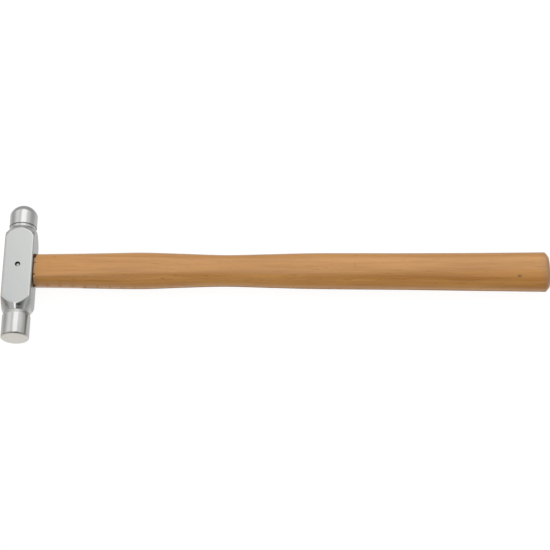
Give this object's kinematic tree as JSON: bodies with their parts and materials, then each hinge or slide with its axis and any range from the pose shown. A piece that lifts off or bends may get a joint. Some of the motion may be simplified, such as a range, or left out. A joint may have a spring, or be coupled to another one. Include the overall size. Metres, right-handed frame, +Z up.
{
  "type": "ball peen hammer",
  "caption": "Small ball peen hammer: polished steel head with flat cheeks, a round striking face and a domed peen, on a swelled oval ash handle.",
  "frame": {"origin": "centre of the hammer's footprint, on the surface that it lies on", "axes": "+X along the handle from the head to the butt, +Y along the head from the striking face to the ball, +Z up out of the upper cheek"},
  "size_m": [0.2834, 0.0756, 0.017],
  "materials": {
    "head_steel": "ground and polished bright, fine polishing marks",
    "handle_wood": "straight-grained ash under clear satin lacquer",
    "wedge_wood": "bare hardwood, sawn end grain",
    "wedge_steel": "dull rolled steel with hammered edge",
    "pin_steel": "turned end face, dull",
    "glue": "hard brown glue, slightly glossy, uneven"
  },
  "bodies": {
    "root": {"head": "head_steel", "handle": "handle_wood", "wooden_wedge": "wedge_wood", "steel_wedge": "wedge_steel", "cross_pin": "pin_steel", "adhesive_bead": "glue"}
  },
  "joints": []
}
